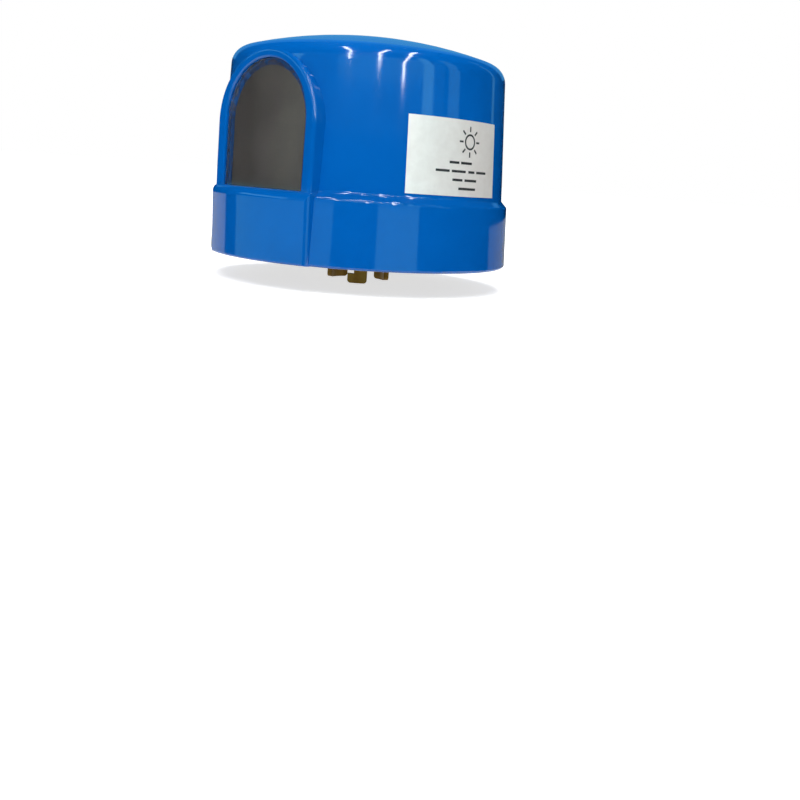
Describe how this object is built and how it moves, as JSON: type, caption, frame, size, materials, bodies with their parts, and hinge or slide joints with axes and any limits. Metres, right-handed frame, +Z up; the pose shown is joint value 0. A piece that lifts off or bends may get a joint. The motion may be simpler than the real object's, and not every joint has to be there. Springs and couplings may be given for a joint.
{
  "type": "photocell switch",
  "caption": "Round plug-in photocell switch: blue domed cover with an arched smoky window and a label, over a gasketed base with brass twist-lock blades.",
  "frame": {"origin": "on the cover's axis, in the plane of the gasket's sealing face under the base", "axes": "+Z up the cover's axis toward the crown, -Y out of the window, +X to the right of the window seen from outside"},
  "size_m": [0.084, 0.0851, 0.0653],
  "materials": {
    "blue_plastic": "gloss moulded",
    "smoky_pane": "smoky clear plastic",
    "label_foil": "satin printed foil",
    "base_plastic": "moulded phenolic",
    "gasket_rubber": "soft foam rubber",
    "blade_brass": "stamped strip",
    "rivet_brass": "peened",
    "screw_steel": "zinc plated steel",
    "board_laminate": "solder resist",
    "solder": "solder",
    "relay_case": "moulded",
    "film_coat": "dipped",
    "varistor_coat": "dipped",
    "can_sleeve": "shrunk sleeve",
    "diode_body": "moulded",
    "resistor_body": "lacquer",
    "chip_body": "moulded",
    "holder_plastic": "moulded",
    "sensor_face": "coated ceramic",
    "lead_wire": "tinned wire"
  },
  "bodies": {
    "root": {"cover": "blue_plastic", "window_pane": "smoky_pane", "rating_label": "label_foil", "base": "base_plastic", "base_gasket": "gasket_rubber", "line_blade": "blade_brass", "load_blade": "blade_brass", "neutral_blade": "blade_brass", "blade_rivets": "rivet_brass", "cover_screws": "screw_steel", "circuit_board": "board_laminate", "board_screws": "screw_steel", "blade_solder": "solder", "relay": "relay_case", "film_capacitor": "film_coat", "varistor": "varistor_coat", "electrolytic_capacitor": "can_sleeve", "rectifier_diodes": "diode_body", "resistors": "resistor_body", "switching_transistor": "chip_body", "control_chip": "chip_body", "sensor_holder": "holder_plastic", "photo_sensor": "sensor_face", "sensor_leads": "lead_wire"}
  },
  "joints": []
}
